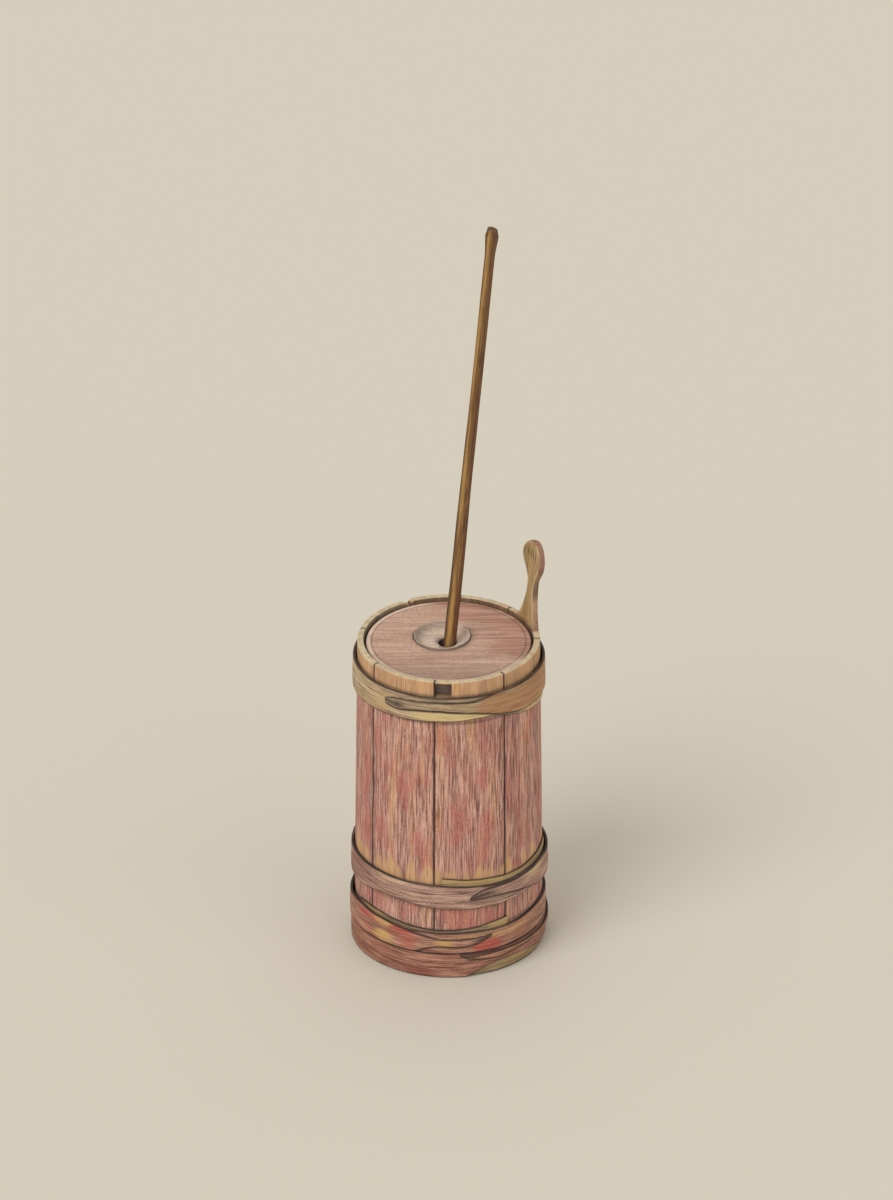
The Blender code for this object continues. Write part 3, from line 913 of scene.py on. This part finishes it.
def strip_ring(angle, low, high, inner, thick, bulge, rows):
    """One section of a strip, as points and how far up from its lower edge each of them is."""
    edge = min(thick * 0.42, (high - low) * 0.3, STRIP_EDGE)
    outer = inner + thick - edge + bulge
    flat = high - low - 2.0 * edge
    inset = [min(step * MM, flat * share) for step, share in STRIP_INSETS]
    levels = [high - edge - step for step in inset]
    inside = flat - 2.0 * inset[-1]
    levels += [levels[-1] - inside * (row + 1) / (rows + 1) for row in range(rows)]
    levels += [low + edge + step for step in reversed(inset)]
    section = arc((outer, high - edge), edge, 90.0, 0.0, 3)
    for level in levels:
        crown = STRIP_CROWN * (1.0 - ((2.0 * level - high - low) / (high - low)) ** 2)
        section.append((outer + edge + crown, level))
    section += arc((outer, low + edge), edge, 0.0, -90.0, 3)
    section += arc((inner + edge, low + edge), edge, -90.0, -180.0, 2)
    section += arc((inner + edge, high - edge), edge, 180.0, 90.0, 2)
    return [
        (polar(stave_radius(height) + depth, angle, height), height - low)
        for depth, height in section
    ]


def edge_wander(angle, first):
    """How far a strip's lower and upper edges stray, in metres."""
    return [STRIP_STRAY * wander(angle * 0.09, first, side) for side in (1.0, 9.0)]


def covers(table, angle):
    """The strip's own turns that lie over an angle: lower edge, upper edge and hidden reach."""
    first, last = sorted((table[0][0], table[-1][0]))
    own_lift = station(table, angle)[2] * MM
    found = []
    for other in (angle - 360.0, angle + 360.0):
        if first < other < last:
            low, high, lift, _ = [value * MM for value in station(table, other)]
            if lift > own_lift:
                found.append((low, high, VIEW_SLOPE * (lift - own_lift)))
    return found


def painted_cover_shadow(over, height):
    """Painted shadow on a strip just outside the outlines of the turns that lie over it."""
    dark = 0.0
    for low, high, hidden in over:
        if height < low:
            dark = max(dark, 0.95 * (1.0 - smooth((low - height - hidden) / 0.0020)))
        if height > high:
            dark = max(dark, 0.80 * (1.0 - smooth((height - high) / 0.0013)))
    return dark


def strip(name, table, finish, slot, node, shades, painted_tip_shadow=None):
    """A split-wood strip bent round the staves, darkened along its edges by grime and painted shade,
    and by painted shadow under the turns that lap over it and at its tongue's tip.

    The shades say how far it is unpainted and tinted at an angle and a share of its width. The painted
    tip shadow is the angle of the tongue's tip and how far its painted dark scoop runs back from it.
    """
    first, last = table[0][0], table[-1][0]
    count = round(abs(last - first))
    rows = max(3, round(max(row[2] - row[1] for row in table) / ROW_WIDTH))
    rings, angles = [], []
    for i in range(count + 1):
        angle = first + (last - first) * i / count
        low, high, lift, thick = [value * MM for value in station(table, angle)]
        ragged = min(1.0, (high - low) / STRAY_WIDTH)
        strays = edge_wander(angle, first)
        low, high = low + ragged * strays[0], high + ragged * strays[1]
        bulge = STRIP_BULGE * wander(angle * 0.14, 6.0, first)
        rings.append(strip_ring(angle, low, high, lift + STRIP_LIFT, thick, bulge, rows))
        angles.append((angle, low, high, covers(table, angle)))
    data = skin(name, [[point for point, _ in ring] for ring in rings])
    data.attributes.new("grain", "FLOAT_VECTOR", "POINT")
    for key in ("bare", "tint", "dirt"):
        data.attributes.new(key, "FLOAT", "POINT")
    store = data.attributes
    i = 0
    for ring, (angle, low, high, over) in zip(rings, angles):
        along = math.radians(angle) * RIM_RADIUS
        for point, up in ring:
            across = up / (high - low)
            gap = min(up, high - low - up)
            # Grime and painted shade along both edges, where the strip meets the staves.
            grime_and_shade_here = 1.0 - smooth((gap - 0.0006) / 0.0013)
            # Painted shadow in the scoop behind the tongue's tip.
            if painted_tip_shadow and abs(angle - painted_tip_shadow[0]) < painted_tip_shadow[1]:
                fade = 1.0 - abs(angle - painted_tip_shadow[0]) / painted_tip_shadow[1]
                grime_and_shade_here = max(grime_and_shade_here, 0.95 * near(across, 0.45, 0.62) * smooth(fade * 1.9))
            # Painted shadow cast by the turns that lie over this one.
            grime_and_shade_here = max(grime_and_shade_here, painted_cover_shadow(over, low + up))
            radius = math.hypot(point.x, point.y)
            store["grain"].data[i].vector = (along + table[0][1], point.z, radius)
            store["dirt"].data[i].value = grime_and_shade_here
            for key in ("bare", "tint"):
                store[key].data[i].value = shades[key](angle, across) if key in shades else 0.0
            i += 1
    settle(linked(name, data), "barrel", finish, slot, node)


def make_hoops():
    """The four hoops: each a strip that laps over itself, and three with a tail that shows."""
    strip(
        "top_hoop_strip", TOP_HOOP, "ochre_hoop", "ochre_hoop", "top_hoop",
        {
            "tint": lambda a, v: smooth((-262.0 - a) / 10.0) * (1.0 - smooth((-336.0 - a) / 14.0)),
            "bare": lambda a, v: max(0.7 * near(a, 34.0, 50.0), 0.8 * near(a, 0.0, 40.0) * (v < 0.35)),
        },
        (-401.0, 18.0),
    )
    strip(
        "middle_hoop_strip", MIDDLE_HOOP, "brown_hoop", "brown_hoop", "middle_hoop",
        {
            "tint": lambda a, v: 0.8 * near(a, -70.0, 45.0),
            "bare": lambda a, v: 0.75 * near(a, -300.0, 26.0) * smooth((v - 0.35) / 0.3),
        },
        (-347.0, 20.0),
    )
    strip(
        "middle_hoop_tail", MIDDLE_TAIL, "tail_wood", "brown_hoop", "middle_hoop",
        {"bare": lambda a, v: 0.55},
    )
    strip(
        "lower_hoop_strip", LOWER_HOOP, "red_hoop", "red_hoop", "lower_hoop",
        {
            "tint": lambda a, v: max(
                near(a, 335.0, 16.0), near(a, 23.0, 18.0) * (v < 0.6), 0.65 * near(a, 296.0, 30.0)
            ),
            "bare": lambda a, v: max(0.65 * near(a, 319.0, 16.0), 0.75 * near(a, 358.0, 14.0)),
        },
        (385.0, 15.0),
    )
    strip(
        "lower_hoop_tail", LOWER_TAIL, "tail_wood", "red_hoop", "lower_hoop",
        {"bare": lambda a, v: max(0.8 * near(a, 34.0, 22.0), 0.6 * near(a, -52.0, 20.0))},
    )
    strip(
        "bottom_hoop_strip", BOTTOM_HOOP, "brick_hoop", "brick_hoop", "bottom_hoop",
        {
            "tint": lambda a, v: 0.6 * near(a, -5.0, 60.0),
            "bare": lambda a, v: 0.8 * near(a, -300.0, 38.0) * smooth((v - 0.3) / 0.3),
        },
        (-354.0, 16.0),
    )
    strip(
        "bottom_hoop_tail", BOTTOM_TAIL, "tail_wood", "brick_hoop", "bottom_hoop",
        {"bare": lambda a, v: 0.5},
    )


# ---------------------------------------------------------------- lid and cup


def make_lid():
    """The lid: a disc with an eased edge and a seat for the cup."""
    low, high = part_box("lid")
    radius = (high.x - low.x) / 2.0
    top, foot = high.z, low.z
    outline = [(0.0, top)]
    outline += [(radius * i / 24.0, top - 0.00005 * (i % 2)) for i in range(1, 22)]
    grooved = ((9.5, 0.0), (8.2, 0.0), (7.6, 0.0), (6.9, 0.3), (6.2, 0.3), (4.6, 0.4))
    outline += [(radius - inset * MM, top - depth * MM) for inset, depth in grooved]
    outline += arc((radius - LID_EDGE, top - 0.0004 - LID_EDGE), LID_EDGE, 90, 0, 5)
    outline += [(radius, (top + foot) / 2.0)]
    outline += arc((radius - LID_UNDER, foot + LID_UNDER), LID_UNDER, 0, -90, 3)
    outline += [(radius * 0.5, foot), (0.0, foot)]
    lid = linked("lid_disc", turned("lid_disc", outline))
    seat_top = top - SEAT_DEPTH
    bore = [
        (0.0, top + OVERCUT), (SEAT_RADIUS, top + OVERCUT), (SEAT_RADIUS, seat_top),
        (SOCKET_RADIUS, seat_top), (SOCKET_RADIUS, foot - OVERCUT), (0.0, foot - OVERCUT),
    ]
    cutter = linked("cup_seat", turned("cup_seat", bore, 96))
    cutter.location = CUP
    bpy.context.view_layer.update()
    cut(lid, cutter)
    seat_edge = SEAT_RADIUS - 0.0003

    # Darker and redder towards the right and back.
    def tint(point):
        return 0.75 * smooth((point.x + 0.6 * point.y + 0.01) / 0.09)

    def dirt(point):
        reach = math.hypot(point.x, point.y)
        # Painted shade on the lid's edge, down inside the rim.
        rim = 0.85 * smooth((reach - radius + 0.0022) / 0.0020)
        # Painted shade in the groove near the edge.
        groove = 0.75 * near(reach, radius - LID_GROOVE, 0.0012) if point.z > top - 0.001 else 0.0
        ring = (Vector((point.x, point.y, 0.0)) - CUP).length
        # Painted shade in the cup's seat and just round it.
        cup = 0.8
        if ring > seat_edge - 0.0005:
            cup = 0.6 * (1.0 - smooth((ring - seat_edge) / 0.0016))
        # Painted shadow that the cup casts on the lid, on one side.
        cup_cast_shadow = 0.25 * (1.0 - smooth((ring - seat_edge) / 0.010)) * (point.x - point.y > -0.01)
        # Darker towards the front.
        front = 0.30 * smooth((-point.y - 0.01) / 0.07)
        return max(rim, groove, cup, cup_cast_shadow, front)

    def bare(point):
        return smooth((math.hypot(point.x, point.y) - radius + 0.0070) / 0.0012)

    def grain(point):
        return point.x * 0.4 + 3.0, point.y * 0.4, point.z

    mark(lid.data, grain, bare=bare, tint=tint, dirt=dirt)
    settle(lid, "lid", "lid_wood", "lid_wood", "lid")


def make_cup():
    """The splash cup: a soft-lipped dish, bored off its centre for the rod."""
    low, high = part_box("splash_cup")
    lip, foot = high.z, low.z
    outer = (high.x - low.x) / 2.0
    floor = lip - CUP_DISH
    seat = lip - CUP_SEAT
    outline = [(0.0, floor), (0.0120, floor), (0.0215, floor + 0.0002), (0.0262, floor + 0.0014)]
    outline += [(0.0296, floor + 0.0036), (0.0320, floor + 0.0060), (0.0336, lip - 0.0012)]
    outline += arc((outer - CUP_EDGE, lip - CUP_EDGE), CUP_EDGE, 150, 0, 6)
    outline += [(outer - 0.0004, seat), (CUP_FOOT, seat), (CUP_FOOT, foot), (0.0, foot)]
    cup = linked("splash_cup_turning", turned("splash_cup_turning", outline, 144))
    cup.location = CUP
    under = foot - OVERCUT
    bore = [(0.0, lip), (HOLE_RADIUS, lip), (HOLE_RADIUS, under), (0.0, under)]
    hole = linked("rod_hole", turned("rod_hole", bore, 64))
    hole.location = CUP_HOLE
    bpy.context.view_layer.update()
    cut(cup, hole)
    cup.data.transform(Matrix.Translation(CUP))
    cup.location = (0.0, 0.0, 0.0)

    def grain(point):
        return point.x * 0.4, point.y * 0.4 + 5.0, point.z

    def dirt(point):
        flat = Vector((point.x, point.y, 0.0))
        ring = (flat - CUP).length
        hole_edge = (flat - CUP_HOLE).length
        # Painted shade down the bore for the rod.
        bored = 0.95 if hole_edge < HOLE_RADIUS + 0.0004 and point.z < floor + 0.0005 else 0.0
        # Painted shade round the lip's outer edge, where the cup drops into its seat.
        rim = 0.7 * smooth((ring - outer + 0.0016) / 0.0012)
        # Painted shade inside the dish on its back left side, under its wall.
        side = (point.x - CUP.x) * -0.75 + (point.y - CUP.y) * 0.65
        shaded = 0.45 * smooth((ring - 0.022) / 0.010) * smooth(side / 0.02)
        return max(bored, rim, shaded)

    mark(cup.data, grain, dirt=dirt)
    settle(cup, "cup", "cup_wood", "cup_wood", "splash_cup")


# ---------------------------------------------------------------- dasher


def dasher_frame():
    """The matrix of the dasher's own frame, on the rod's leaning axis."""
    return Matrix.Translation(DASHER) @ Matrix.Rotation(math.radians(LEAN), 4, "Y")


def rod_radius(height):
    """The rod's radius along it: slim in the upper half, flared at the butt."""
    slim = ROD_WAIST + (ROD_RADIUS - ROD_WAIST) * (1.0 - smooth((height - 0.03) / 0.34))
    butt = smooth((height - ROD_ABOVE + 0.042) / 0.036)
    return slim + (ROD_BUTT - slim) * butt


def make_rod():
    """The rod: shaved by hand, a little out of round, its butt cut off at a slant."""
    rings = []
    top = ROD_ABOVE - 0.0004
    for i in range(ROD_STEPS + 1):
        height = -FOOT_DROP + (top + FOOT_DROP) * i / ROD_STEPS
        closing = max(0.0, (height - top + 0.003) / 0.003)
        radius = rod_radius(height) * (1.0 - 0.25 * closing ** 2)
        # It is round where it passes the cup and where it enters the foot
        loose = smooth((abs(height - 0.01) - 0.03) / 0.05) * smooth((height + 0.30) / 0.05)
        sway = Vector((wander(height * 6.0, 1.0, 0.0), wander(height * 6.0, 7.0, 0.0), 0.0))
        ring = []
        for step in range(ROD_SIDES):
            turn = 2.0 * math.pi * step / ROD_SIDES
            facet = 0.00028 * wander(math.cos(turn) * 1.6, math.sin(turn) * 1.6, height * 14.0)
            reach = radius + facet * loose
            slant = ROD_SLANT * smooth((height - top + 0.03) / 0.03) * (1.0 + math.cos(turn)) / 2.0
            place = Vector((reach * math.cos(turn), reach * math.sin(turn), height - slant))
            ring.append(place + sway * 0.0006 * loose)
        rings.append(ring)
    rod = linked("dasher_rod_shaved", skin("dasher_rod_shaved", rings))
    half, rise = KERF[0] / 2.0, KERF[1]
    low = (-half, -0.02, -FOOT_DROP - 0.002)
    kerf = block("wedge_kerf", low, (half, 0.02, -FOOT_DROP + rise))
    bpy.context.view_layer.update()
    cut(rod, kerf)

    def grain(point):
        return point.z, math.atan2(point.y, point.x) * ROD_RADIUS, 0.0

    # Painted shade down the rod's right side.
    def tint(point):
        return 0.85 * smooth((point.x + 0.0006) / 0.0045)

    # A painted highlight down the rod's left side.
    def bare(point):
        return 0.8 * near(point.x, -0.0035, 0.0042)

    def dirt(point):
        # Painted shade along both sides of the rod, and darker at its top end.
        left = 0.55 * smooth((-point.x - 0.0052) / 0.0018)
        right = 0.45 * smooth((point.x - 0.0058) / 0.0016)
        return max(left, right, 0.5 * smooth((point.z - ROD_ABOVE + 0.004) / 0.003))

    mark(rod.data, grain, tint=tint, bare=bare, dirt=dirt)
    rod.data.transform(dasher_frame())
    settle(rod, "dasher", "rod_wood", "rod_wood", "dasher_rod")


def make_arm(node, along_x):
    """One arm of the dasher's cross, with rounded ends, halved where it meets the other."""
    half, width = FOOT_SPAN / 2.0, FOOT_WIDTH / 2.0
    low, high = -FOOT_DROP, -FOOT_DROP + FOOT_THICKNESS
    middle = (low + high) / 2.0
    x, y = half - FOOT_CORNER, width - FOOT_CORNER
    outline = []
    for centre, start in (((x, y), 0), ((-x, y), 90), ((-x, -y), 180), ((x, -y), 270)):
        outline += arc(centre, FOOT_CORNER, start, start + 90, 6)
    soft = FOOT_EDGE
    rings = []
    for height, inset in (
        (low, soft), (low + soft * 0.3, soft * 0.3), (low + soft, 0.0),
        (high - soft, 0.0), (high - soft * 0.3, soft * 0.3), (high, soft),
    ):
        ring = []
        for x, y in outline:
            x -= math.copysign(inset, x)
            y -= math.copysign(inset, y)
            ring.append((x, y, height) if along_x else (-y, x, height))
        rings.append(ring)
    arm = linked(node + "_carved", skin(node + "_carved", rings))
    beyond, snug = 0.04, width + 0.0003
    if along_x:
        reach, lap = (snug, beyond), (low - OVERCUT, middle + LAP_GAP)
    else:
        reach, lap = (beyond, snug), (middle - LAP_GAP, high + OVERCUT)
    notch = block(node + "_notch", (-reach[0], -reach[1], lap[0]), (*reach, lap[1]))
    cut(arm, notch)
    over, under = high + OVERCUT, low - OVERCUT
    bore = [(0.0, over), (BORE_RADIUS, over), (BORE_RADIUS, under), (0.0, under)]
    cut(arm, linked(node + "_bore", turned(node + "_bore", bore, 48)))

    def grain(point):
        return point if along_x else (point.y + 2.0, point.x, point.z)

    mark(arm.data, grain)
    arm.data.transform(dasher_frame())
    settle(arm, "dasher", "soaked_wood", "soaked_wood", node)


# ---------------------------------------------------------------- scene


def keep_cad_pieces():
    """Give the plain pieces that the frame already shapes their finish."""
    names = ["bottom_board_left", "bottom_board_middle", "bottom_board_right", "tenon_wedge"]
    names += [f"bottom_dowel_{number}" for number in range(1, 5)]
    for name in names:
        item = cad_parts[name]
        item.data.materials.clear()
        item.data.materials.append(FINISHES["bare_wood"])


def plain_material(name, colour, roughness):
    """A plain matte material for the stage."""
    graph = Graph(name)
    graph.shader.inputs["Base Color"].default_value = colour
    graph.shader.inputs["Roughness"].default_value = roughness
    return graph.material


def make_stage():
    """A plain pale floor, a pale world and soft lights."""
    bpy.ops.mesh.primitive_plane_add(size=FLOOR_SIZE, location=(0.0, 0.0, 0.0))
    floor = bpy.context.object
    floor.name = "floor"
    floor.data.materials.append(plain_material("paper_floor", linear(213, 206, 192), 0.95))
    world = bpy.data.worlds.new("studio")
    bpy.context.scene.world = world
    world.use_nodes = True
    back = world.node_tree.nodes["Background"]
    back.inputs["Color"].default_value = linear(250, 246, 238)
    back.inputs["Strength"].default_value = WORLD_STRENGTH
    for name, place, spread, strength in LIGHTS:
        add_light(name, Vector(place), spread, strength)


def add_light(name, place, spread, strength):
    """A broad, soft sun, so that the floor is lit the same all over."""
    data = bpy.data.lights.new(name, "SUN")
    data.angle = math.radians(spread)
    data.energy = strength
    light = bpy.data.objects.new(name, data)
    light.location = place
    light.rotation_euler = (LIGHT_AIM - place).to_track_quat("-Z", "Y").to_euler()
    bpy.context.scene.collection.objects.link(light)


def make_camera():
    """The camera, in front of the churn and well above it, far off so that lines stay parallel."""
    data = bpy.data.cameras.new("camera")
    data.lens = EYE_LENS
    data.clip_end = EYE_RANGE
    camera = bpy.data.objects.new("camera", data)
    rise = math.radians(EYE_ELEVATION)
    back = Vector((0.0, -math.cos(rise), math.sin(rise)))
    camera.location = EYE_AIM + back * EYE_DISTANCE
    camera.rotation_euler = (-back).to_track_quat("-Z", "Y").to_euler()
    bpy.context.scene.collection.objects.link(camera)
    bpy.context.scene.camera = camera


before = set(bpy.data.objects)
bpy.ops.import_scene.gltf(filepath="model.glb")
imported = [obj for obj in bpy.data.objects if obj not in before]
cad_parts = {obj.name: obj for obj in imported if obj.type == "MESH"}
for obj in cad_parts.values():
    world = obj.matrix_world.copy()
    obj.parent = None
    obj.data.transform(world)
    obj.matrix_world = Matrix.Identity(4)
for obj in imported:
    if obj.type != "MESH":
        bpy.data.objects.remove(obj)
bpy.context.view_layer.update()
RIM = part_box("stave_1")[1].z
FINISHES = make_materials()
bpy.context.scene.view_settings.view_transform = "Standard"

make_camera()
make_stage()
make_staves()
make_hoops()
make_lid()
make_cup()
make_rod()
make_arm("foot_arm_long", True)
make_arm("foot_arm_cross", False)
keep_cad_pieces()
